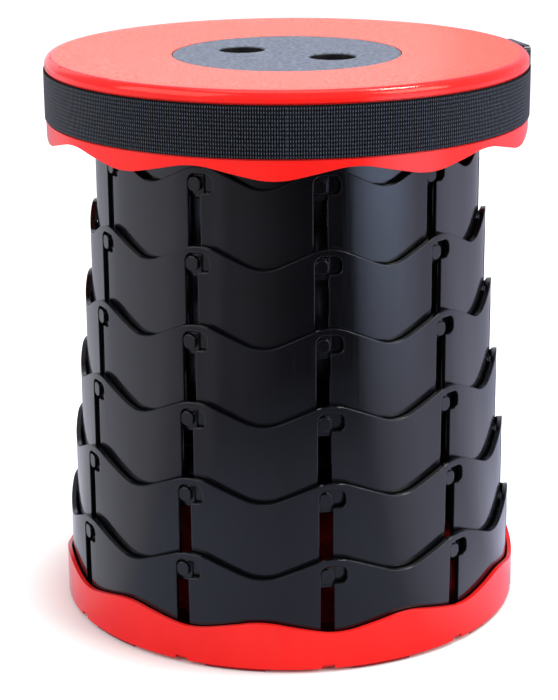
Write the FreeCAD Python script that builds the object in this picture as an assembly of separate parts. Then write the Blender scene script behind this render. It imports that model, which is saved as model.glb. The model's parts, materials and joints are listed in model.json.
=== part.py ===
import FreeCAD, Part
import math
import os

# Telescopic folding stool: a base, seven nested rings that slide out of each other and
# lock with a twist, and a round seat with a carry strap. Millimetres, +Z up.
# The origin is on the floor under the middle of the stool, and the front faces -Y.
# Azimuths run from the front towards +X. The rings are drawn pulled up and not yet twisted.

V = FreeCAD.Vector

# whole stool
tier_travel = 39.2
folded_clearance = 1.1
columns = 10
slot_azimuth = 9.1

# rings, counted from the base up
ring_count = 7
outer_ring_radius = 120.9
ring_wall = 2.6
ring_gap = 1.24
ring_height = 55.4
wave_height = 10.6
wave_fullness = 0.75
wave_lead = 2.0
foot_rim_height = 1.6
foot_seam = 0.05
floor_clearance = 0.3

# bayonet slots and pegs
slot_width = 7.2
slot_foot = 3.1
hook_below_crest = 3.4
hook_round = 4.2
pocket_reach = 6.6
pocket_height = 9.7
pocket_round = 3.0
pocket_lip = 0.9
peg_width = 6.6
peg_height = 7.2
peg_round = 2.8
peg_above_pocket = 0.5
peg_tip_setback = 0.3
tongue_thickness = 0.9
tongue_lap = 0.6
tongue_rise = 0.8

# base
base_gap = 0.9
base_wall = 2.2
base_floor = 2.2
base_depth = 22.0
base_wave_height = 5.8
base_wave_lead = 2.2
base_notch_width = 6.6
base_notch_height = 2.0
base_rib_height = 8.0
base_rib_wall = 2.0
base_hub_radius = 30.0
base_rib_gap = 4.0
snap_tongue_thickness = 0.6
snap_pocket_depth = 1.2
snap_pocket_margin = 0.4

# foot pads
pad_height = 2.0
pad_width = 15.0
pad_inset = 1.0
pad_span = 15.0
pad_lead = 13.5
pad_chamfer = 0.6
pad_stud_radius = 3.0
pad_stud_height = 1.2
pad_stud_clearance = 0.1

# seat
skirt_gap = 0.6
seat_skin = 2.4
seat_inner_skin = 2.5
seat_edge_round = 4.0
skirt_wall = 2.0
skirt_depth = 39.8
skirt_wave_height = 6.4
skirt_azimuth = -3.0
seat_rim_width = 9.6
dish_depth = 1.5
collar_seat_margin = 1.2
seat_rib_wall = 2.0
seat_rib_height = 10.0

# centre inlay and finger well
inlay_radius = 60.0
inlay_thickness = 3.2
inlay_clearance = 0.3
inlay_edge_chamfer = 0.5
cup_wall = 2.4
finger_hole_radius = 11.8
finger_hole_edge = 1.0
finger_hole_pitch = 54.0
finger_hole_angle = -28.4
finger_sleeve_wall = 1.6
finger_sleeve_depth = 9.0
well_margin = 2.7
well_depth = 22.0
well_wall = 2.0

# fixing of the seat on the top ring
collar_flange_width = 9.0
collar_flange_thickness = 2.5
collar_screw_inset = 1.0
collar_screw_count = 5
screw_radius = 2.0
screw_clearance = 0.1
screw_head_radius = 4.0
screw_head_height = 2.4
screw_head_taper = 0.8
screw_grip = 8.0
boss_radius = 4.5

# carry strap and its buckle
strap_width = 25.7
strap_thickness = 1.2
strap_below_top = 6.6
strap_groove_depth = 0.6
strap_clearance = 0.05
strap_tail_span = 28.0
buckle_azimuth = 107.0
buckle_length = 30.0
buckle_frame = 4.0
buckle_thickness = 3.4
buckle_bar_radius = 1.5
buckle_round = 3.0
buckle_window_round = 1.0
buckle_gap = 0.3

# values worked out from the sizes above
pitch_angle = 360.0 / columns
half_pitch = math.radians(pitch_angle / 2.0)
ring_step = ring_wall + ring_gap
floor_bottom = pad_height
floor_top = floor_bottom + base_floor
ring_bottom = floor_top + floor_clearance
ring_crest_height = ring_bottom + ring_height
base_radius = outer_ring_radius + base_gap + base_wall
base_rim_height = floor_bottom + base_depth
seat_radius = base_radius + skirt_gap + skirt_wall
total_travel = (ring_count - 1) * tier_travel
seat_underside = ring_crest_height + folded_clearance + total_travel
stool_height = seat_underside + seat_skin
skirt_bottom = stool_height - skirt_depth
strap_top_height = stool_height - strap_below_top
dish_radius = seat_radius - seat_rim_width
dish_height = stool_height - dish_depth
well_half_width = finger_hole_radius + well_margin
inlay_bottom = dish_height - inlay_thickness
collar_seat_height = dish_height - seat_inner_skin
strap_groove_radius = seat_radius - strap_groove_depth
strap_outer_radius = strap_groove_radius + strap_clearance + strap_thickness
pocket_floor_below_crest = hook_below_crest + pocket_height
peg_foot = ring_height - tier_travel - pocket_floor_below_crest + peg_above_pocket

os.makedirs("parts", exist_ok=True)


def ring_radius(number):
    # outer radius of a ring, 1 being the largest
    return outer_ring_radius - (number - 1) * ring_step


def ring_base_height(number):
    # height of a ring's lower edge with the stool pulled up
    return ring_bottom + (number - 1) * tier_travel


def turned(shape, azimuth):
    # copy of a shape built at the front, moved round to an azimuth
    copy = shape.copy()
    copy.rotate(V(0, 0, 0), V(0, 0, 1), azimuth)
    return copy


def around(shape, start, count=columns):
    # evenly spaced copies round the axis
    return [turned(shape, start + 360.0 * i / count) for i in range(count)]


def tube(outer, inner, low, high):
    # round wall between two radii and two heights
    solid = Part.makeCylinder(outer, high - low, V(0, 0, low))
    return solid.cut(Part.makeCylinder(inner, high - low + 2.0, V(0, 0, low - 1.0)))


def sector(outer, inner, low, high, span, azimuth):
    # part of a round wall, centred on an azimuth
    ring = Part.makeCylinder(outer, high - low, V(0, 0, low), V(0, 0, 1), span)
    ring = ring.cut(Part.makeCylinder(inner, high - low + 2.0, V(0, 0, low - 1.0)))
    return turned(ring, azimuth - span / 2.0 - 90.0)


def corner_arc(before, corner, after, radius):
    # tangent points and middle of the arc that rounds one corner of an outline
    to_before = (before - corner).normalize()
    to_after = (after - corner).normalize()
    half = to_before.getAngle(to_after) / 2.0
    reach = radius / math.tan(half)
    bisector = (to_before + to_after).normalize()
    middle = corner + bisector * (radius / math.sin(half) - radius)
    return corner + to_before * reach, middle, corner + to_after * reach


def outline(corners, place):
    # closed wire through corners given as (u, v, radius), with place turning u, v into a point
    points = [place(u, v) for u, v, radius in corners]
    stretches = []
    for i, (u, v, radius) in enumerate(corners):
        if radius > 0:
            following = points[(i + 1) % len(points)]
            stretches.append(corner_arc(points[i - 1], points[i], following, radius))
        else:
            stretches.append((points[i], None, points[i]))
    edges = []
    for i, (start, middle, end) in enumerate(stretches):
        if middle is not None:
            edges.append(Part.Arc(start, middle, end).toShape())
        following = stretches[(i + 1) % len(stretches)][0]
        if (following - end).Length > 1e-6:
            edges.append(Part.LineSegment(end, following).toShape())
    return Part.Wire(edges)


def front_prism(corners, inner, outer):
    # outline drawn on the front of the stool (x, z), carried from one radius out to another
    wire = outline(corners, lambda x, z: V(x, -inner, z))
    return Part.Face(wire).extrude(V(0, inner - outer, 0))


def revolved(corners):
    # outline in radius and height, turned about the axis
    wire = outline(corners, lambda r, z: V(r, 0, z))
    return Part.Face(wire).revolve(V(0, 0, 0), V(0, 0, 1), 360)


def wave_cutters(radius, wall, edge, height, start, upwards):
    # blocks that cut a wavy edge: edge is the height of the crests (or of the low points
    # when the edge hangs down), and each block reaches from one of them to the next.
    # at a fullness of 1 the crest and valley arcs meet with no straight between them
    sign = 1.0 if upwards else -1.0
    reach = radius * math.sin(half_pitch)
    rounding = wave_fullness * (reach * reach + height * height) / (4.0 * height)
    diagonal = math.hypot(reach, 2.0 * rounding - height)
    slope = math.asin(2.0 * rounding / diagonal) - math.atan2(2.0 * rounding - height, reach)
    shoulder = reach - rounding * math.tan(slope / 2.0)
    valley = shoulder * math.tan(slope)
    clear = 2.0 * height
    corners = [
        (-reach, edge, 0),
        (-shoulder, edge, rounding),
        (0, edge - sign * valley, rounding),
        (shoulder, edge, rounding),
        (reach, edge, 0),
        (reach, edge + sign * clear, 0),
        (-reach, edge + sign * clear, 0),
    ]
    inner = (radius - wall) * math.cos(half_pitch) - 1.0
    return around(front_prism(corners, inner, radius + 2.0), start + pitch_angle / 2.0)


def slot_cutters(radius, low, crest):
    # upright slots whose tops hook over to a pocket, where the next ring's pegs lock
    half = slot_width / 2.0
    top = crest - hook_below_crest
    floor = top - pocket_height
    corners = [
        (-half, low, 0),
        (-half, top, hook_round),
        (half + pocket_reach, top, hook_round),
        (half + pocket_reach, floor, pocket_round),
        (half, floor, pocket_lip),
        (half, low, 0),
    ]
    prism = front_prism(corners, radius - ring_wall - ring_gap, radius + 1.0)
    return around(prism, slot_azimuth)


def pegs_on_tongues(radius, low, thickness, tip_radius):
    # pegs low on a ring, each on a tongue that bridges the lower end of the ring's own slot
    half = peg_width / 2.0
    foot = low + peg_foot
    top = foot + peg_height
    corners = [
        (-half, foot, peg_round),
        (half, foot, peg_round),
        (half, top, peg_round),
        (-half, top, peg_round),
    ]
    peg = front_prism(corners, radius + thickness / 2.0, tip_radius)
    span = math.degrees((slot_width + 2.0 * tongue_lap) / radius)
    tongue_low = low + foot_rim_height + foot_seam
    tongue = sector(radius + thickness, radius, tongue_low, top + tongue_rise, span, 0)
    return around(tongue.fuse(peg), slot_azimuth)


def make_ring(number):
    # one ring and, for the sliding ones, its foot rim
    radius = ring_radius(number)
    low = ring_base_height(number)
    top = low + ring_height
    inner = radius - ring_wall
    body_low = low + foot_rim_height + foot_seam
    thickness = tongue_thickness
    tip_radius = radius + ring_step - peg_tip_setback
    if number == 1:
        body_low = floor_top
        thickness = snap_tongue_thickness
        tip_radius = base_radius - base_wall + snap_pocket_depth - peg_tip_setback
    if number == ring_count:
        top = collar_seat_height
    body = tube(radius, inner, body_low, top)
    if number < ring_count:
        waves = wave_cutters(radius, ring_wall, top, wave_height, slot_azimuth + wave_lead, True)
        body = body.cut(waves + slot_cutters(radius, low + slot_foot, top))
    else:
        body = add_collar_flange(body, inner)
    body = body.fuse(pegs_on_tongues(radius, low, thickness, tip_radius)).removeSplitter()
    foot = None
    if number > 1:
        foot = tube(radius, inner, low, low + foot_rim_height)
    return body, foot


def collar_screw_places():
    # the screws stand between the radial ribs, so they start half a rib pitch round
    radius = ring_radius(ring_count) - ring_wall - collar_flange_width / 2.0 - collar_screw_inset
    start = slot_azimuth + pitch_angle / 2.0
    return radius, [start + 360.0 * i / collar_screw_count for i in range(collar_screw_count)]


def collar_flange_top():
    # the flange meets the lower ends of the seat's bosses and ribs
    return collar_seat_height - seat_rib_height


def add_collar_flange(body, inner):
    # inward flange of the top ring, which takes the screws from the seat
    top = collar_flange_top()
    flange = tube(inner + ring_wall / 2.0, inner - collar_flange_width,
                  top - collar_flange_thickness, top)
    radius, places = collar_screw_places()
    hole = Part.makeCylinder(screw_radius + screw_clearance, collar_flange_thickness + 2.0,
                             V(0, -radius, top - collar_flange_thickness - 1.0))
    ears = Part.makeCylinder(boss_radius, collar_flange_thickness,
                             V(0, -radius, top - collar_flange_thickness))
    flange = flange.fuse([turned(ears, a) for a in places])
    return body.fuse(flange).cut([turned(hole, a) for a in places])


def make_base():
    # red base: floor, wavy rim, snap pockets for the first ring, ribs and pad sockets
    rim_top = base_rim_height + base_wave_height / 2.0
    inner = base_radius - base_wall
    base = tube(base_radius, inner, floor_bottom, rim_top)
    base = base.cut(wave_cutters(base_radius, base_wall, rim_top, base_wave_height,
                                 slot_azimuth + base_wave_lead + pitch_angle / 2.0, True))
    plate = Part.makeCylinder(inner + base_wall / 2.0, base_floor, V(0, 0, floor_bottom))
    rib_top = floor_top + base_rib_height
    rib_radius = ring_radius(ring_count) - ring_wall - base_rib_gap
    ribs = [tube(rib_radius, rib_radius - base_rib_wall, floor_bottom, rib_top)]
    ribs.append(tube(base_hub_radius, base_hub_radius - base_rib_wall, floor_bottom, rib_top))
    length = rib_radius - base_hub_radius
    spoke = Part.makeBox(base_rib_wall, length, rib_top - floor_bottom,
                         V(-base_rib_wall / 2.0, -rib_radius + base_rib_wall / 2.0,
                           floor_bottom))
    base = base.fuse([plate] + ribs + around(spoke, slot_azimuth + pitch_angle / 2.0))
    half = base_notch_width / 2.0
    notch_top = floor_bottom + base_notch_height
    notch = front_prism([(-half, floor_bottom - 1.0, 0), (half, floor_bottom - 1.0, 0),
                         (half, notch_top, 0), (-half, notch_top, 0)],
                        inner, base_radius + 1.0)
    pocket_half = peg_width / 2.0 + snap_pocket_margin
    pocket_top = ring_bottom + peg_foot + peg_height + snap_pocket_margin
    pocket = front_prism([(-pocket_half, notch_top, 0), (pocket_half, notch_top, 0),
                          (pocket_half, pocket_top, peg_round), (-pocket_half, pocket_top, peg_round)],
                         inner - 0.5, inner + snap_pocket_depth)
    pocket = pocket.cut(Part.makeCylinder(inner - 0.4, pocket_top, V(0, 0, 0)))
    socket = Part.makeCylinder(pad_stud_radius + pad_stud_clearance,
                               pad_stud_height + pad_stud_clearance,
                               V(0, -pad_stud_place(), floor_bottom))
    tools = around(notch, slot_azimuth)
    tools += around(pocket, slot_azimuth)
    tools += around(socket, slot_azimuth + pad_lead)
    return base.cut(tools).removeSplitter()


def pad_stud_place():
    # radius of the studs, in the middle of the pads
    return base_radius - pad_inset - pad_width / 2.0


def make_foot_pads():
    # ten pads under the base, each with a stud in a socket of the floor
    outer = base_radius - pad_inset
    inner = outer - pad_width
    wire = outline([(inner + pad_chamfer, 0, 0), (outer - pad_chamfer, 0, 0),
                    (outer, pad_chamfer, 0), (outer, pad_height, 0),
                    (inner, pad_height, 0), (inner, pad_chamfer, 0)],
                   lambda r, z: V(r, 0, z))
    pad = Part.Face(wire).revolve(V(0, 0, 0), V(0, 0, 1), pad_span)
    pad = turned(pad, -90.0 - pad_span / 2.0)
    stud = Part.makeCylinder(pad_stud_radius, pad_stud_height, V(0, -pad_stud_place(), pad_height))
    return Part.makeCompound(around(pad.fuse(stud), slot_azimuth + pad_lead))


def stadium(half_length, half_width, low, high):
    # upright block with round ends, along the line through the finger holes
    middle = Part.makeBox(2.0 * half_length, 2.0 * half_width, high - low,
                          V(-half_length, -half_width, low))
    ends = [Part.makeCylinder(half_width, high - low, V(x, 0, low))
            for x in (-half_length, half_length)]
    return turned(middle.fuse(ends).removeSplitter(), finger_hole_angle)


def make_seat():
    # red seat: dished top, wall with the strap groove, wavy skirt, cup for the inlay
    skirt_low = skirt_bottom - skirt_wave_height / 2.0
    inner = seat_radius - skirt_wall
    groove_top = strap_top_height + strap_groove_depth
    groove_low = strap_top_height - strap_width - strap_groove_depth
    collar = ring_radius(ring_count) + collar_seat_margin
    cup = inlay_radius + inlay_clearance
    cup_floor = inlay_bottom - well_wall
    shell = revolved([
        (0, cup_floor, 0),
        (cup + cup_wall, cup_floor, 0),
        (cup + cup_wall, collar_seat_height, 0),
        (collar, collar_seat_height, 0),
        (collar, seat_underside, 0),
        (inner, seat_underside, 0),
        (inner, skirt_low, 0),
        (seat_radius, skirt_low, 0),
        (seat_radius, groove_low, 0),
        (strap_groove_radius, groove_low, 0),
        (strap_groove_radius, groove_top, 0),
        (seat_radius, groove_top, 0),
        (seat_radius, stool_height, seat_edge_round),
        (dish_radius, stool_height, 0),
        (cup, dish_height, 0),
        (cup, inlay_bottom, 0),
        (0, inlay_bottom, 0),
    ])
    shell = shell.cut(wave_cutters(seat_radius, skirt_wall, skirt_low, skirt_wave_height,
                                   skirt_azimuth, False))
    well_half_length = finger_hole_pitch / 2.0
    well_low = cup_floor - well_depth
    outer_half = well_half_width + well_wall
    boss_low = collar_flange_top()
    radius, places = collar_screw_places()
    boss = Part.makeCylinder(boss_radius, collar_seat_height - boss_low, V(0, -radius, boss_low))
    rib_length = radius - cup - cup_wall / 2.0
    rib = Part.makeBox(seat_rib_wall, rib_length, collar_seat_height - boss_low,
                       V(-seat_rib_wall / 2.0, -radius, boss_low))
    shell = shell.fuse([stadium(well_half_length, outer_half, well_low, inlay_bottom)]
                       + [turned(boss, a) for a in places]
                       + around(rib, slot_azimuth))
    hole = Part.makeCylinder(screw_radius + screw_clearance, screw_grip + screw_clearance,
                             V(0, -radius, boss_low))
    well = stadium(well_half_length, well_half_width, well_low + well_wall, inlay_bottom + 1.0)
    return shell.cut([well] + [turned(hole, a) for a in places]).removeSplitter()


def make_inlay():
    # grey disc in the middle of the seat, with two finger holes to pull the stool up by
    disc = Part.makeCylinder(inlay_radius, inlay_thickness, V(0, 0, inlay_bottom))
    edge = [e for e in disc.Edges if len(e.Vertexes) == 1 and e.CenterOfMass.z > inlay_bottom + 1.0]
    disc = disc.makeChamfer(inlay_edge_chamfer, edge)
    holes = []
    sleeve_low = dish_height - finger_sleeve_depth
    for side in (-1, 1):
        place = V(side * finger_hole_pitch / 2.0, 0, sleeve_low)
        sleeve = Part.makeCylinder(finger_hole_radius + finger_sleeve_wall,
                                   inlay_bottom - sleeve_low + 1.0, place)
        disc = disc.fuse(turned(sleeve, finger_hole_angle))
        place.z = sleeve_low - 1.0
        holes.append(Part.makeCylinder(finger_hole_radius, finger_sleeve_depth + 2.0, place))
        top = V(place.x, 0, dish_height - finger_hole_edge)
        holes.append(Part.makeCone(finger_hole_radius, finger_hole_radius + finger_hole_edge,
                                   finger_hole_edge, top))
    return disc.cut([turned(h, finger_hole_angle) for h in holes])


def make_collar_screws():
    # pan-head screws, driven up through the top ring's flange into the seat
    radius, places = collar_screw_places()
    under = collar_flange_top() - collar_flange_thickness
    head = Part.makeCone(screw_head_radius - screw_head_taper, screw_head_radius,
                         screw_head_height, V(0, -radius, under - screw_head_height))
    shank = Part.makeCylinder(screw_radius, collar_flange_thickness + screw_grip,
                              V(0, -radius, under))
    return Part.makeCompound([turned(head.fuse(shank), a) for a in places])


def make_strap():
    # webbing round the seat, with its doubled tail and the loop over the buckle's bar
    low = strap_top_height - strap_width
    inner = strap_groove_radius + strap_clearance
    band = tube(strap_outer_radius, inner, low, strap_top_height)
    tail_radius = strap_outer_radius + strap_thickness
    tail = sector(tail_radius, strap_outer_radius, low, strap_top_height, strap_tail_span,
                  buckle_azimuth + strap_tail_span / 2.0)
    bar_radius = buckle_bar_place()
    loop_top = bar_radius + buckle_bar_radius + buckle_gap + strap_thickness
    loop_half = buckle_bar_radius + buckle_gap + strap_thickness
    loop = front_prism([(-loop_half, low, 0), (loop_half, low, 0),
                        (loop_half, strap_top_height, 0), (-loop_half, strap_top_height, 0)],
                       inner + strap_thickness / 2.0, loop_top)
    bore = Part.makeCylinder(buckle_bar_radius + buckle_gap, strap_width + 2.0,
                             V(0, -bar_radius, low - 1.0))
    loop = turned(loop.cut(bore), buckle_azimuth)
    return band.fuse([tail, loop]).removeSplitter()


def buckle_bar_place():
    # radius of the buckle's middle bar
    return strap_outer_radius + strap_thickness + buckle_gap + buckle_thickness / 2.0


def make_buckle():
    # one-piece ladder buckle: a rounded frame with a middle bar that the webbing turns round
    inner = buckle_bar_place() - buckle_thickness / 2.0
    middle = strap_top_height - strap_width / 2.0
    half_length = buckle_length / 2.0
    half_height = strap_width / 2.0 + buckle_gap + buckle_frame
    frame = front_prism([(-half_length, middle - half_height, buckle_round),
                         (half_length, middle - half_height, buckle_round),
                         (half_length, middle + half_height, buckle_round),
                         (-half_length, middle + half_height, buckle_round)],
                        inner, inner + buckle_thickness)
    window_length = half_length - buckle_frame
    window_height = half_height - buckle_frame
    window = front_prism([(-window_length, middle - window_height, buckle_window_round),
                          (window_length, middle - window_height, buckle_window_round),
                          (window_length, middle + window_height, buckle_window_round),
                          (-window_length, middle + window_height, buckle_window_round)],
                         inner - 1.0, inner + buckle_thickness + 1.0)
    bar = Part.makeCylinder(buckle_bar_radius, 2.0 * half_height - buckle_frame,
                            V(0, -buckle_bar_place(), middle - half_height + buckle_frame / 2.0))
    return turned(frame.cut(window).fuse(bar).removeSplitter(), buckle_azimuth)


def save(name, shape):
    if not shape.isValid():
        raise RuntimeError(name + " is not a valid solid")
    shape.exportStep("parts/" + name + ".step")
    print(name, "solids", len(shape.Solids), "volume", round(shape.Volume, 1))


save("base_shell", make_base())
save("foot_pads", make_foot_pads())
for number in range(1, ring_count + 1):
    body, foot = make_ring(number)
    save("ring_%d" % number, body)
    if foot is not None:
        save("ring_%d_foot" % number, foot)
save("seat_shell", make_seat())
save("seat_inlay", make_inlay())
save("collar_screws", make_collar_screws())
save("carry_strap", make_strap())
save("strap_buckle", make_buckle())
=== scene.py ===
import json
import math

import bpy
import numpy as np
from mathutils import Matrix, Vector


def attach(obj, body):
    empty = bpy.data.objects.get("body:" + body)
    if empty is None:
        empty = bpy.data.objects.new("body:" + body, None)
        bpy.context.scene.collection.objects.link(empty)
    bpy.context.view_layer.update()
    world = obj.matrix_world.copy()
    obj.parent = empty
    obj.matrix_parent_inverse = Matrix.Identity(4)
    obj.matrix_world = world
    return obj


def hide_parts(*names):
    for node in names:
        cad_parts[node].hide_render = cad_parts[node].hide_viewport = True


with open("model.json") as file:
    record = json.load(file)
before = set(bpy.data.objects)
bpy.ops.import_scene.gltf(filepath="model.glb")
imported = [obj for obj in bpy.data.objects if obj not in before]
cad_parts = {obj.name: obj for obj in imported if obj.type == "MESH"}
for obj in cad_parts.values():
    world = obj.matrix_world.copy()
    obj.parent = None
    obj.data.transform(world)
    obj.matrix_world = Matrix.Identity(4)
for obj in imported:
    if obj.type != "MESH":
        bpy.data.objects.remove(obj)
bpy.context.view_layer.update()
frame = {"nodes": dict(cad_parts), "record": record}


def linearColour(hexText):
    # sRGB hex to the linear colour that the shaders want
    parts = [int(hexText[i:i + 2], 16) / 255 for i in (1, 3, 5)]
    return [c / 12.92 if c <= 0.04045 else ((c + 0.055) / 1.055) ** 2.4 for c in parts] + [1]


def addNode(tree, kind, inputs=None, **settings):
    # one node with its settings; an input is a value or another node's output
    node = tree.nodes.new("ShaderNode" + kind)
    for name, value in settings.items():
        setattr(node, name, value)
    for socket, value in (inputs or {}).items():
        if isinstance(value, bpy.types.NodeSocket):
            tree.links.new(value, node.inputs[socket])
        else:
            node.inputs[socket].default_value = value
    return node


def startMaterial(name):
    material = bpy.data.materials.new(name)
    material.use_nodes = True
    material.node_tree.nodes.clear()
    output = addNode(material.node_tree, "OutputMaterial")
    return material, material.node_tree, output


def zoneMask(tree, place, zone):
    # 1 inside an upright drum about the stool's axis and 0 outside it, with a soft border, mm
    axes = addNode(tree, "SeparateXYZ", {"Vector": place})
    flat = addNode(tree, "CombineXYZ", {"X": axes.outputs["X"], "Y": axes.outputs["Y"]})
    reach = addNode(tree, "VectorMath", {0: flat.outputs["Vector"]}, operation="LENGTH")
    border = zone["border"] / 1000
    low, high, radius = zone["low"] / 1000, zone["high"] / 1000, zone["radius"] / 1000
    within = addNode(tree, "MapRange", {"Value": reach.outputs["Value"], "From Min": radius,
                                        "From Max": radius + border, "To Min": 1.0, "To Max": 0.0})
    above = addNode(tree, "MapRange", {"Value": axes.outputs["Z"], "From Min": low - border,
                                       "From Max": low})
    below = addNode(tree, "MapRange", {"Value": axes.outputs["Z"], "From Min": high,
                                       "From Max": high + border, "To Min": 1.0, "To Max": 0.0})
    layer = addNode(tree, "Math", {0: above.outputs["Result"], 1: below.outputs["Result"]},
                    operation="MULTIPLY")
    drum = addNode(tree, "Math", {0: within.outputs["Result"], 1: layer.outputs[0]},
                   operation="MULTIPLY")
    return drum.outputs[0]


# what all the moulded plastics share: the part of each noise that is spread over the mottling,
# the streaks and the sparks, how far the streaks are drawn out upwards, and how far they move
# the roughness to either side
mould = {"mottle": (0.3, 0.7), "streaks": (0.3, 0.7), "sparks": (0.35, 0.65), "drawnOut": 0.04,
         "wearBelow": 0.05, "wearAbove": 0.06, "edgeSamples": 4}


def mouldedPlastic(name, look):
    # a moulded plastic: slight flow mottling in the colour, a sparked grain from the steel
    # mould, and moulded edges that catch the light (Bevel shader), sizes in mm; it may have a
    # satin zone, with a stronger grain, a roughness that follows the grain and a colour of its own
    # that paints a warm sheen, and deep zones where a deeper colour paints shade
    material, tree, output = startMaterial(name)
    coords = addNode(tree, "TexCoord").outputs["Object"]
    flow = addNode(tree, "TexNoise", {"Vector": coords, "Scale": 1000 / look["flowMm"],
                                      "Detail": 3.0})
    tone = addNode(tree, "ValToRGB", {"Fac": flow.outputs["Fac"]})
    for end, position, colour in zip(tone.color_ramp.elements, mould["mottle"],
                                     (look["deep"], look["light"])):
        end.position = position
        end.color = linearColour(colour)
    drawn = addNode(tree, "Mapping", {"Vector": coords, "Scale": (1, 1, mould["drawnOut"])})
    streaks = addNode(tree, "TexNoise", {"Vector": drawn.outputs["Vector"],
                                         "Scale": 1000 / look["streakMm"], "Detail": 2.0})
    wear = addNode(tree, "MapRange", {"Value": streaks.outputs["Fac"],
                                      "From Min": mould["streaks"][0],
                                      "From Max": mould["streaks"][1],
                                      "To Min": look["roughness"] - mould["wearBelow"],
                                      "To Max": look["roughness"] + mould["wearAbove"]})
    grain = addNode(tree, "TexNoise", {"Vector": coords, "Scale": 1000 / look["grainMm"],
                                       "Detail": 2.0})
    edge = addNode(tree, "Bevel", {"Radius": look["edgeMm"] / 1000}, samples=mould["edgeSamples"])
    colour = tone.outputs["Color"]
    roughness = wear.outputs["Result"]
    strength = look["grainStrength"]
    if "satin" in look:
        satin = look["satin"]
        onTop = zoneMask(tree, coords, satin)
        sparked = addNode(tree, "MapRange", {"Value": grain.outputs["Fac"],
                                             "From Min": mould["sparks"][0],
                                             "From Max": mould["sparks"][1],
                                             "To Min": satin["smooth"], "To Max": satin["rough"]})
        topRoughness = addNode(tree, "MapRange", {"Value": onTop, "To Min": roughness,
                                                  "To Max": sparked.outputs["Result"]})
        topStrength = addNode(tree, "MapRange", {"Value": onTop, "To Min": strength,
                                                 "To Max": satin["grainStrength"]})
        # the satin zone's colour paints a warm sheen over the top
        paintedTopSheen = addNode(tree, "Mix", {0: onTop, 6: colour, 7: linearColour(satin["colour"])},
                            data_type="RGBA")
        roughness = topRoughness.outputs["Result"]
        strength = topStrength.outputs["Result"]
        colour = paintedTopSheen.outputs[2]
    for zone in look.get("deepZones", []):
        deeper = addNode(tree, "Mix", {0: zoneMask(tree, coords, zone), 6: colour,
                                       7: linearColour(zone["colour"])}, data_type="RGBA")
        colour = deeper.outputs[2]
    waves = addNode(tree, "Bump", {"Height": flow.outputs["Fac"],
                                   "Distance": look["waveDepthMm"] / 1000,
                                   "Normal": edge.outputs["Normal"]})
    bump = addNode(tree, "Bump", {"Height": grain.outputs["Fac"], "Strength": strength,
                                  "Distance": look["grainDepthMm"] / 1000,
                                  "Normal": waves.outputs["Normal"]})
    shader = addNode(tree, "BsdfPrincipled", {"Base Color": colour, "Roughness": roughness,
                                              "IOR": look["ior"],
                                              "Specular IOR Level": look["gloss"],
                                              "Specular Tint": linearColour(look["glossTint"]),
                                              "Normal": bump.outputs["Normal"]})
    tree.links.new(shader.outputs["BSDF"], output.inputs["Surface"])
    return material


# Polypropylene, injection moulded: even strong red, polished walls, and a sparked grain on the
# seat's top that scatters what it mirrors. The top's more orange colour is a painted warm sheen,
# set for this light. Deeper colours stand in for shade on the pads and on the floor inside the
# rings.
redSeat = {"deep": "#e61a17", "light": "#ec1f1b", "flowMm": 30, "waveDepthMm": 0.08,
           "streakMm": 1.6, "roughness": 0.14, "grainMm": 1.3, "grainDepthMm": 0.05,
           "grainStrength": 0.02, "edgeMm": 0.5, "ior": 1.45, "gloss": 0.45,
           "glossTint": "#fff2e2",
           "satin": {"low": 296.6, "high": 400, "radius": 121.5, "border": 1.0,
                     "colour": "#f04a1c", "smooth": 0.16, "rough": 0.36, "grainStrength": 0.3},
           "deepZones": [
               {"low": 3.0, "high": 40.0, "radius": 117.5, "border": 1.0, "colour": "#780a09"},
               {"low": -1.0, "high": 1.9, "radius": 200.0, "border": 0.1, "colour": "#8a0a10"}]}
# The same polypropylene in blue-grey black: polished, pale only at a grazing angle
darkRings = {"deep": "#07070a", "light": "#0a0a0e", "flowMm": 26, "waveDepthMm": 0.12,
             "streakMm": 1.4, "roughness": 0.13, "grainMm": 0.9, "grainDepthMm": 0.01,
             "grainStrength": 0.15, "edgeMm": 0.9, "ior": 1.49, "gloss": 0.5,
             "glossTint": "#ffffff"}
# ABS with a coarser leather-like grain, so the disc stays matt where the seat shines; a near
# black colour stands in for shade in its finger holes, from just under the rim
greyDisc = {"deep": "#4f5565", "light": "#7b8191", "flowMm": 2.4, "waveDepthMm": 0.05,
            "streakMm": 2.0, "roughness": 0.55, "grainMm": 1.6, "grainDepthMm": 0.2,
            "grainStrength": 1.0, "edgeMm": 0.4, "ior": 1.53, "gloss": 0.25,
            "glossTint": "#ffffff",
            "deepZones": [
                {"low": 200.0, "high": 296.3, "radius": 120.0, "border": 0.5, "colour": "#020305"}]}
# Acetal, polished tool: blue-black and glossy
blackBuckle = {"deep": "#10151f", "light": "#151b27", "flowMm": 12, "waveDepthMm": 0.01,
               "streakMm": 2.0, "roughness": 0.25, "grainMm": 1.0, "grainDepthMm": 0.01,
               "grainStrength": 0.1, "edgeMm": 0.6, "ior": 1.48, "gloss": 0.5,
               "glossTint": "#ffffff"}
# Steel screws, zinc plated: bright, slightly clouded metal
screwZinc = {"colour": "#b9bbbf", "cloudMm": 2.5, "smooth": 0.28, "rough": 0.42}


def zincSteel():
    # a plated metal: one noise clouds its roughness between smooth and rough, size in mm
    material, tree, output = startMaterial("zincPlatedSteel")
    coords = addNode(tree, "TexCoord").outputs["Object"]
    cloud = addNode(tree, "TexNoise", {"Vector": coords, "Scale": 1000 / screwZinc["cloudMm"]})
    rough = addNode(tree, "MapRange", {"Value": cloud.outputs["Fac"],
                                       "To Min": screwZinc["smooth"], "To Max": screwZinc["rough"]})
    shader = addNode(tree, "BsdfPrincipled", {"Base Color": linearColour(screwZinc["colour"]),
                                              "Metallic": 1.0,
                                              "Roughness": rough.outputs["Result"]})
    tree.links.new(shader.outputs["BSDF"], output.inputs["Surface"])
    return material


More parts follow.
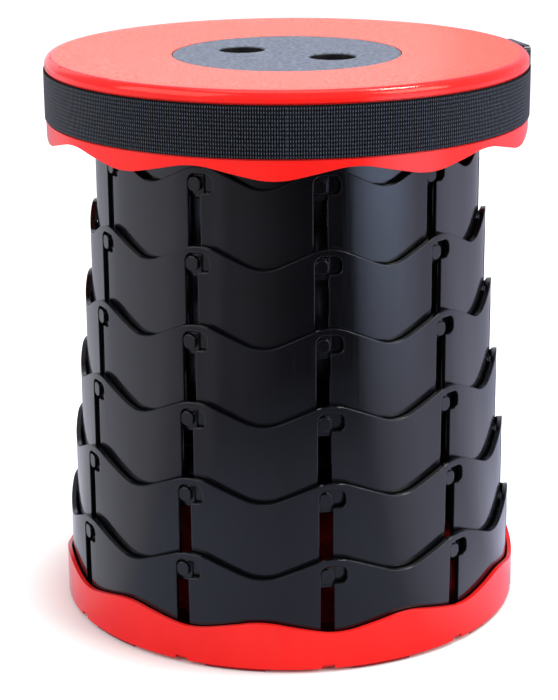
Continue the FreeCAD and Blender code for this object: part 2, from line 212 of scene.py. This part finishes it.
# mm and degrees from the front; the bar is the buckle's middle bar, which the webbing humps over
strap = {"seatRadius": 126.05, "thickness": 1.2, "width": 25.7, "top": 292.0, "edge": 0.5,
         "crown": 0.06, "flatPoints": 15, "turnPoints": 9, "steps": 1440,
         "tailStart": 101.5, "tailEnd": 135.0, "tailStep": 0.25, "buckleAt": 107.0,
         "barTop": 131.95, "barGap": 0.3, "hump": 8.0, "slack": 0.05}
# threads: rib and row spacings as on the photograph's strap, mm, and how much the rows and the
# fuzz add to the ribs, more in the colour than in the relief, so that the rows don't shine
# the pale colour paints glints on the rib crests and the near-black one paints shade between the
# threads; the edge colour paints shade on the band's top edge and back
weave = {"ribMm": 1.28, "rowMm": 1.93, "fuzzPerMm": 1.1, "reliefMm": 0.1, "edgeShadeMm": 1.2,
         "rowInColour": 0.35, "fuzzInColour": 1.2, "rowInRelief": 0.3, "fuzzInRelief": 0.5,
         "toneFrom": 0.2, "toneTo": 2.2, "gapShare": 0.45,
         "gapShade": "#010102", "yarnAndGlint": "#5b6372", "edgeShade": "#020203",
         "roughness": 0.36, "edgeShadeRoughness": 0.8, "ior": 1.5, "gloss": 0.12}


def wovenWebbing():
    # polyester webbing: ribs across the band over weft rows along it, in pale crests and near-black
    # spaces between the threads, which are painted glints on the ribs and painted shade between
    # them, and painted shade on the band's top edge and back, read from the band's own UV map,
    # which counts millimetres (u along the band, v across it); ribs and rows are sines of those,
    # and noise adds the fuzz
    material, tree, output = startMaterial("wovenPolyesterWebbing")
    uv = addNode(tree, "UVMap", uv_map="threads").outputs["UV"]
    split = addNode(tree, "SeparateXYZ", {"Vector": uv})
    alongBand = addNode(tree, "Math", {0: split.outputs["X"], 1: 2 * math.pi / weave["ribMm"]},
                        operation="MULTIPLY")
    acrossBand = addNode(tree, "Math", {0: split.outputs["Y"], 1: 2 * math.pi / weave["rowMm"]},
                         operation="MULTIPLY")
    rib = addNode(tree, "Math", {0: alongBand.outputs[0]}, operation="SINE")
    row = addNode(tree, "Math", {0: acrossBand.outputs[0]}, operation="SINE")
    fuzz = addNode(tree, "TexNoise", {"Vector": uv, "Scale": weave["fuzzPerMm"], "Detail": 2.0})
    threads = addNode(tree, "Math", {0: row.outputs[0], 1: weave["rowInColour"],
                                     2: rib.outputs[0]}, operation="MULTIPLY_ADD")
    pattern = addNode(tree, "Math", {0: fuzz.outputs["Fac"], 1: weave["fuzzInColour"],
                                     2: threads.outputs[0]}, operation="MULTIPLY_ADD")
    ridges = addNode(tree, "Math", {0: row.outputs[0], 1: weave["rowInRelief"],
                                    2: rib.outputs[0]}, operation="MULTIPLY_ADD")
    relief = addNode(tree, "Math", {0: fuzz.outputs["Fac"], 1: weave["fuzzInRelief"],
                                    2: ridges.outputs[0]}, operation="MULTIPLY_ADD")
    spread = addNode(tree, "MapRange", {"Value": pattern.outputs[0], "From Min": weave["toneFrom"],
                                        "From Max": weave["toneTo"]})
    # the ramp's pale end paints glints on the rib crests, its near-black end shade between the
    # threads
    tone = addNode(tree, "ValToRGB", {"Fac": spread.outputs["Result"]})
    tone.color_ramp.elements[0].position = weave["gapShare"]
    tone.color_ramp.elements[0].color = linearColour(weave["gapShade"])
    tone.color_ramp.elements[1].color = linearColour(weave["yarnAndGlint"])
    # from just under the top of the outer face round the back, a near-black colour paints shade on
    # the band's top edge, with a rougher finish
    edgeShadeFrom = strap["width"] - weave["edgeShadeMm"]
    edgeShade = addNode(tree, "Math", {0: split.outputs["Y"], 1: edgeShadeFrom},
                       operation="GREATER_THAN")
    yarnAndGlint = addNode(tree, "Mix", {0: edgeShade.outputs[0], 6: tone.outputs["Color"],
                                 7: linearColour(weave["edgeShade"])}, data_type="RGBA")
    rough = addNode(tree, "MapRange", {"Value": edgeShade.outputs[0], "To Min": weave["roughness"],
                                       "To Max": weave["edgeShadeRoughness"]})
    bump = addNode(tree, "Bump", {"Height": relief.outputs[0], "Strength": 1.0,
                                  "Distance": weave["reliefMm"] / 1000})
    shader = addNode(tree, "BsdfPrincipled", {"Base Color": yarnAndGlint.outputs[2],
                                              "Roughness": rough.outputs["Result"],
                                              "IOR": weave["ior"],
                                              "Specular IOR Level": weave["gloss"],
                                              "Normal": bump.outputs["Normal"]})
    tree.links.new(shader.outputs["BSDF"], output.inputs["Surface"])
    return material


redPlastic = mouldedPlastic("redPolypropylene", redSeat)
darkPlastic = mouldedPlastic("darkPolypropylene", darkRings)
greyPlastic = mouldedPlastic("greyGrainedAbs", greyDisc)
bucklePlastic = mouldedPlastic("blackAcetal", blackBuckle)
screwSteel = zincSteel()
webbing = wovenWebbing()
slotMaterials = {"red_plastic": redPlastic, "dark_plastic": darkPlastic,
                 "grey_plastic": greyPlastic, "buckle_plastic": bucklePlastic,
                 "screw_steel": screwSteel, "webbing": webbing}
for part in frame["record"]["subparts"]:
    node = frame["nodes"][part["node"]]
    for place in node.material_slots:
        place.material = slotMaterials[part["material_slot"]]
print("stage: materials on the moulded parts")


def gridMesh(name, points, uv, material, closedU, closedV):
    # a surface from an array of points (rows along u, columns along v), with its own UV map;
    # four neighbouring points make a face, and an open band gets a cap at each end
    rows, columns = points.shape[:2]
    lastRow = rows if closedU else rows - 1
    lastColumn = columns if closedV else columns - 1
    i, j = np.meshgrid(np.arange(lastRow), np.arange(lastColumn), indexing="ij")
    nextI, nextJ = (i + 1) % rows, (j + 1) % columns
    faces = np.stack([i * columns + j, nextI * columns + j, nextI * columns + nextJ,
                      i * columns + nextJ], axis=-1)
    startCap = np.arange(columns)[::-1].tolist()
    endCap = ((rows - 1) * columns + np.arange(columns)).tolist()
    ends = [] if closedU else [startCap, endCap]
    mesh = bpy.data.meshes.new(name)
    mesh.from_pydata(points.reshape(-1, 3).tolist(), [], faces.reshape(-1, 4).tolist() + ends)
    threads = mesh.uv_layers.new(name="threads")
    cornerU = np.stack([uv[0][i], uv[0][i] + uv[2], uv[0][i] + uv[2], uv[0][i]], axis=-1)
    cornerV = np.stack([uv[1][j], uv[1][j], uv[1][j + 1], uv[1][j + 1]], axis=-1)
    corners = np.stack([cornerU, cornerV], axis=-1).reshape(-1)
    endCorners = np.full(2 * columns * len(ends), uv[1][-1])
    threads.data.foreach_set("uv", np.concatenate([corners, endCorners]).astype(np.float32))
    mesh.polygons.foreach_set("use_smooth", [True] * len(mesh.polygons))
    mesh.materials.append(material)
    mesh.update()
    piece = bpy.data.objects.new(name, mesh)
    bpy.context.collection.objects.link(piece)
    return piece


def webbingProfile(width, thickness, edge):
    # closed outline of the webbing's section: across the band and out from the seat, mm,
    # a rounded rectangle with its long faces slightly crowned
    across, out = width / 2, thickness / 2
    flat = np.linspace(-across + edge, across - edge, strap["flatPoints"])
    turn = np.linspace(0, math.pi, strap["turnPoints"])
    crown = strap["crown"] * (1 - (flat / across) ** 2)
    outer = np.stack([flat, out + crown], axis=-1)
    top = np.stack([across - edge + edge * np.sin(turn), out * np.cos(turn)], axis=-1)[1:-1]
    inner = np.stack([flat[::-1], np.full(len(flat), -out)], axis=-1)
    bottom = np.stack([-across + edge - edge * np.sin(turn), -out * np.cos(turn)], axis=-1)[1:-1]
    return np.concatenate([outer, top, inner, bottom])


def bandAlong(name, angles, radii, closed):
    # webbing laid along a line round the seat, angles in degrees from the front, radii in mm:
    # the section's way out is added to the radius, and its way across to the strap's middle
    # height; the UV map counts the arc length and the length round the section
    section = webbingProfile(strap["width"], strap["thickness"], strap["edge"])
    turn = np.radians(angles)[:, None]
    reach = radii[:, None] + section[None, :, 1]
    height = strap["top"] - strap["width"] / 2 + np.broadcast_to(section[:, 0], reach.shape)
    points = np.stack([reach * np.sin(turn), -reach * np.cos(turn), height], axis=-1) / 1000
    stepMm = np.radians(angles[1] - angles[0]) * radii[0]
    along = np.arange(len(angles)) * stepMm
    lengths = np.linalg.norm(np.diff(np.vstack([section, section[:1]]), axis=0), axis=1)
    across = np.concatenate([[0], np.cumsum(lengths)])
    return gridMesh(name, points, (along, across, stepMm), webbing, closed, True)


middle = strap["seatRadius"] + strap["thickness"] / 2
angles = np.arange(strap["steps"]) * 360 / strap["steps"]
band = bandAlong("strap_band", angles, np.full(strap["steps"], middle), True)
tailAngles = np.arange(strap["tailStart"], strap["tailEnd"], strap["tailStep"])
# the tail lies on the band and rises over the bar by one wave of a cosine, a hump to each side
fromBar = np.radians(tailAngles - strap["buckleAt"]) * middle
rise = 0.5 + 0.5 * np.cos(math.pi * np.clip(fromBar / strap["hump"], -1, 1))
tailFlat = middle + strap["thickness"] + strap["slack"]
overBar = strap["barTop"] + strap["thickness"] / 2 + strap["barGap"]
tail = bandAlong("strap_tail", tailAngles, tailFlat + (overBar - tailFlat) * rise, False)
for piece in (band, tail):
    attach(piece, "top")
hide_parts("carry_strap")
print("stage: strap")

# The floor, in metres from the stool's axis. The camera sees it white past the stool's own
# shadow. The plastic's gloss mirrors something else: "gloss" is the brightness and tint of the
# studio by bearing, in degrees from the front, and its dark stretch is where the camera and its
# stand are. A tall "panel" on the right grows brighter with distance, so it shows in what stands
# high. "near" is the pale paper close by, brighter to the sides, and "foot" the shade under it
floorLook = {"size": 12.0, "colour": "#f2f2f2", "white": 0.15, "glow": 3.2,
             "shadeFrom": 0.12, "shadeTo": 0.155, "footShade": 0.45, "footTo": 0.165,
             "nearLight": 0.36, "nearSides": 0.45, "nearTint": "#dbe2ff",
             "nearFrom": 0.26, "nearTo": 0.70, "glossStrength": 1.8,
             "tints": {"soft": "#ecedfb", "cool": "#dfe0fb", "panel": "#b8d6ff"},
             "gloss": [(-180, 0.3, "soft"), (-150, 0.33, "soft"), (-125, 0.62, "soft"),
                       (-108, 0.55, "soft"), (-90, 0.64, "soft"), (-70, 0.62, "soft"),
                       (-58, 0.42, "soft"), (-48, 0.3, "soft"), (-38, 0.36, "soft"),
                       (-34.5, 0.21, "soft"), (-24, 0.2, "soft"), (-12, 0.12, "soft"),
                       (0, 0.05, "soft"), (12, 0.02, "cool"), (34.5, 0.02, "cool"),
                       (37, 0.3, "cool"), (44, 0.6, "cool"), (54, 0.85, "cool"),
                       (66, 0.95, "cool"), (76, 0.85, "cool"), (88, 0.68, "cool"),
                       (100, 0.84, "cool"), (110, 0.8, "cool"), (122, 0.55, "cool"),
                       (140, 0.36, "cool"), (180, 0.3, "soft")],
             "panel": [(-180, 0, "panel"), (34.5, 0, "panel"), (37, 0.35, "panel"),
                       (44, 0.7, "panel"), (50, 0.9, "panel"), (62, 0.9, "panel"),
                       (70, 0.45, "panel"), (78, 0, "panel")],
             "panelFrom": 0.45, "panelTo": 1.35, "panelMost": 1.4}


def bearingRamp(tree, turn, stops):
    # colours by bearing: each stop is degrees from the front, brightness and tint
    ring = addNode(tree, "ValToRGB", {"Fac": turn})
    marks = ring.color_ramp.elements
    marks.remove(marks[1])
    for bearing, level, tint in stops:
        mark = marks[0] if bearing == -180 else marks.new((bearing + 180) / 360)
        mark.color = [level * part for part in linearColour(floorLook["tints"][tint])[:3]] + [1]
    return ring.outputs["Color"]


def paperFloorAndPaintedReflections():
    # white paper sweep: the camera sees it near white past the stool's shadow; to glossy rays it
    # glows instead, a painted reflection of the studio by bearing, or of the near light where that
    # is brighter, with painted shade at the stool's foot
    material, tree, output = startMaterial("paperSweepAndPaintedReflections")
    path = addNode(tree, "LightPath")
    place = addNode(tree, "TexCoord").outputs["Object"]
    reach = addNode(tree, "VectorMath", {0: place}, operation="LENGTH")
    clear = addNode(tree, "MapRange", {"Value": reach.outputs["Value"],
                                       "From Min": floorLook["shadeFrom"],
                                       "From Max": floorLook["shadeTo"],
                                       "To Max": floorLook["white"]},
                    interpolation_type="SMOOTHSTEP")
    share = addNode(tree, "Math", {0: path.outputs["Is Camera Ray"], 1: clear.outputs["Result"]},
                    operation="MULTIPLY")
    paper = addNode(tree, "BsdfDiffuse", {"Color": linearColour(floorLook["colour"])})
    glow = addNode(tree, "Emission", {"Color": (1, 1, 1, 1), "Strength": floorLook["glow"]})
    seen = addNode(tree, "MixShader", {0: share.outputs[0], 1: paper.outputs[0],
                                       2: glow.outputs[0]})
    axes = addNode(tree, "SeparateXYZ", {"Vector": place})
    ahead = addNode(tree, "Math", {0: axes.outputs["Y"], 1: -1.0}, operation="MULTIPLY")
    bearing = addNode(tree, "Math", {0: axes.outputs["X"], 1: ahead.outputs[0]},
                      operation="ARCTAN2")
    turn = addNode(tree, "MapRange", {"Value": bearing.outputs[0], "From Min": -math.pi,
                                      "From Max": math.pi}).outputs["Result"]
    tall = addNode(tree, "MapRange", {"Value": reach.outputs["Value"],
                                      "From Min": floorLook["panelFrom"],
                                      "From Max": floorLook["panelTo"],
                                      "To Max": floorLook["panelMost"]})
    panel = addNode(tree, "VectorMath", {0: bearingRamp(tree, turn, floorLook["panel"]),
                                         3: tall.outputs["Result"]}, operation="SCALE")
    around = addNode(tree, "VectorMath", {0: bearingRamp(tree, turn, floorLook["gloss"]),
                                          1: panel.outputs["Vector"]}, operation="ADD")
    near = addNode(tree, "MapRange", {"Value": reach.outputs["Value"],
                                      "From Min": floorLook["nearFrom"],
                                      "From Max": floorLook["nearTo"],
                                      "To Min": floorLook["nearLight"], "To Max": 0.0},
                   interpolation_type="SMOOTHSTEP")
    sideways = addNode(tree, "Math", {0: axes.outputs["X"], 1: reach.outputs["Value"]},
                       operation="DIVIDE")
    aside = addNode(tree, "Math", {0: sideways.outputs[0]}, operation="ABSOLUTE")
    rise = addNode(tree, "Math", {0: aside.outputs[0], 1: floorLook["nearSides"], 2: 1.0},
                   operation="MULTIPLY_ADD")
    level = addNode(tree, "Math", {0: near.outputs["Result"], 1: rise.outputs[0]},
                    operation="MULTIPLY")
    nearLight = addNode(tree, "VectorMath", {0: linearColour(floorLook["nearTint"])[:3],
                                             3: level.outputs[0]}, operation="SCALE")
    brighter = addNode(tree, "VectorMath", {0: around.outputs["Vector"],
                                            1: nearLight.outputs["Vector"]}, operation="MAXIMUM")
    foot = addNode(tree, "MapRange", {"Value": reach.outputs["Value"],
                                      "From Min": floorLook["shadeFrom"],
                                      "From Max": floorLook["footTo"],
                                      "To Min": floorLook["footShade"] * floorLook["glossStrength"],
                                      "To Max": floorLook["glossStrength"]})
    # glossy rays see this glow, not the paper: painted reflections, dimmed near the stool's foot to
    # a painted shade
    mirrored = addNode(tree, "Emission", {"Color": brighter.outputs["Vector"],
                                          "Strength": foot.outputs["Result"]})
    final = addNode(tree, "MixShader", {0: path.outputs["Is Glossy Ray"], 1: seen.outputs[0],
                                        2: mirrored.outputs[0]})
    tree.links.new(final.outputs[0], output.inputs["Surface"])
    return material


half = floorLook["size"] / 2
floorMesh = bpy.data.meshes.new("floor")
corners = [(-half, -half, 0), (half, -half, 0), (half, half, 0), (-half, half, 0)]
floorMesh.from_pydata(corners, [], [(0, 1, 2, 3)])
floorMesh.materials.append(paperFloorAndPaintedReflections())
floor = bpy.data.objects.new("floor", floorMesh)
bpy.context.collection.objects.link(floor)

# Soft boxes, in metres and watts, all aimed at the middle of the stool: left and right light the
# walls, the strip makes the bright streak on the seat's rounded edge, and the seat's top mirrors
# the one at the back. The world lights the stool, the camera sees it white, and the gloss
# mirrors it dimmed
studio = {"world": 0.45, "mirrored": "#b4bccc", "lampColour": "#ffffff", "aim": (0, 0, 0.15),
          "lamps": [
              {"name": "softLeft", "from": (-1.7, -1.0, 1.4), "size": (2.0, 2.0), "watts": 31},
              {"name": "softRight", "from": (1.7, -0.9, 1.2), "size": (1.2, 1.2), "watts": 27},
              {"name": "softTop", "from": (0.0, 0.2, 2.0), "size": (1.2, 1.2), "watts": 8},
              {"name": "stripRight", "from": (0.87, 0.09, 1.93), "size": (0.45, 0.4), "watts": 22},
              {"name": "softBack", "from": (-0.85, 2.4, 0.7), "size": (2.4, 2.4), "watts": 7.5}]}
for lamp in studio["lamps"]:
    light = bpy.data.lights.new(lamp["name"], "AREA")
    light.shape = "RECTANGLE"
    light.size, light.size_y = lamp["size"]
    light.energy = lamp["watts"]
    light.color = linearColour(studio["lampColour"])[:3]
    holder = bpy.data.objects.new(lamp["name"], light)
    holder.location = lamp["from"]
    towards = Vector(studio["aim"]) - holder.location
    holder.rotation_euler = towards.to_track_quat("-Z", "Y").to_euler()
    bpy.context.collection.objects.link(holder)

world = bpy.data.worlds.new("studio")
world.use_nodes = True
sky = world.node_tree
sky.nodes.clear()
path = addNode(sky, "LightPath")
direct = addNode(sky, "Math", {0: path.outputs["Is Camera Ray"], 1: path.outputs["Is Glossy Ray"]},
                 operation="MAXIMUM")
seen = addNode(sky, "Math", {0: direct.outputs[0], 1: path.outputs["Is Transmission Ray"]},
               operation="MAXIMUM")
strength = addNode(sky, "MapRange", {"Value": seen.outputs[0], "To Min": studio["world"],
                                     "To Max": 1.0})
dimmed = addNode(sky, "Mix", {0: path.outputs["Is Glossy Ray"], 6: (1, 1, 1, 1),
                              7: linearColour(studio["mirrored"])}, data_type="RGBA")
ground = addNode(sky, "Background", {"Color": dimmed.outputs[2],
                                     "Strength": strength.outputs["Result"]})
sky.links.new(ground.outputs[0], addNode(sky, "OutputWorld").inputs["Surface"])
bpy.context.scene.world = world
print("stage: floor and lights")

# camera fitted to the photograph's edges: metres, degrees, and the focal length in pixels of
# the 558 x 700 image
shot = {"place": (0.0, -1.0773, 0.4624), "pitch": 16.94, "yaw": -0.275, "roll": -0.41,
        "focalPixels": 2058.55, "longSidePixels": 700, "sensorMm": 36}
pitch, yaw, roll = (math.radians(shot[k]) for k in ("pitch", "yaw", "roll"))
forward = Vector((math.sin(yaw) * math.cos(pitch), math.cos(yaw) * math.cos(pitch),
                  -math.sin(pitch)))
right = forward.cross(Vector((0, 0, 1))).normalized()
up = right.cross(forward)
turnedRight = right * math.cos(roll) + up * math.sin(roll)
turnedUp = up * math.cos(roll) - right * math.sin(roll)
cameraData = bpy.data.cameras.new("camera")
cameraData.sensor_width = shot["sensorMm"]
cameraData.lens = shot["focalPixels"] / shot["longSidePixels"] * shot["sensorMm"]
camera = bpy.data.objects.new("camera", cameraData)
camera.matrix_world = Matrix((turnedRight, turnedUp, -forward)).transposed().to_4x4()
camera.location = shot["place"]
bpy.context.collection.objects.link(camera)
bpy.context.scene.camera = camera
bpy.context.scene.view_settings.view_transform = "Standard"

print("stage: camera")
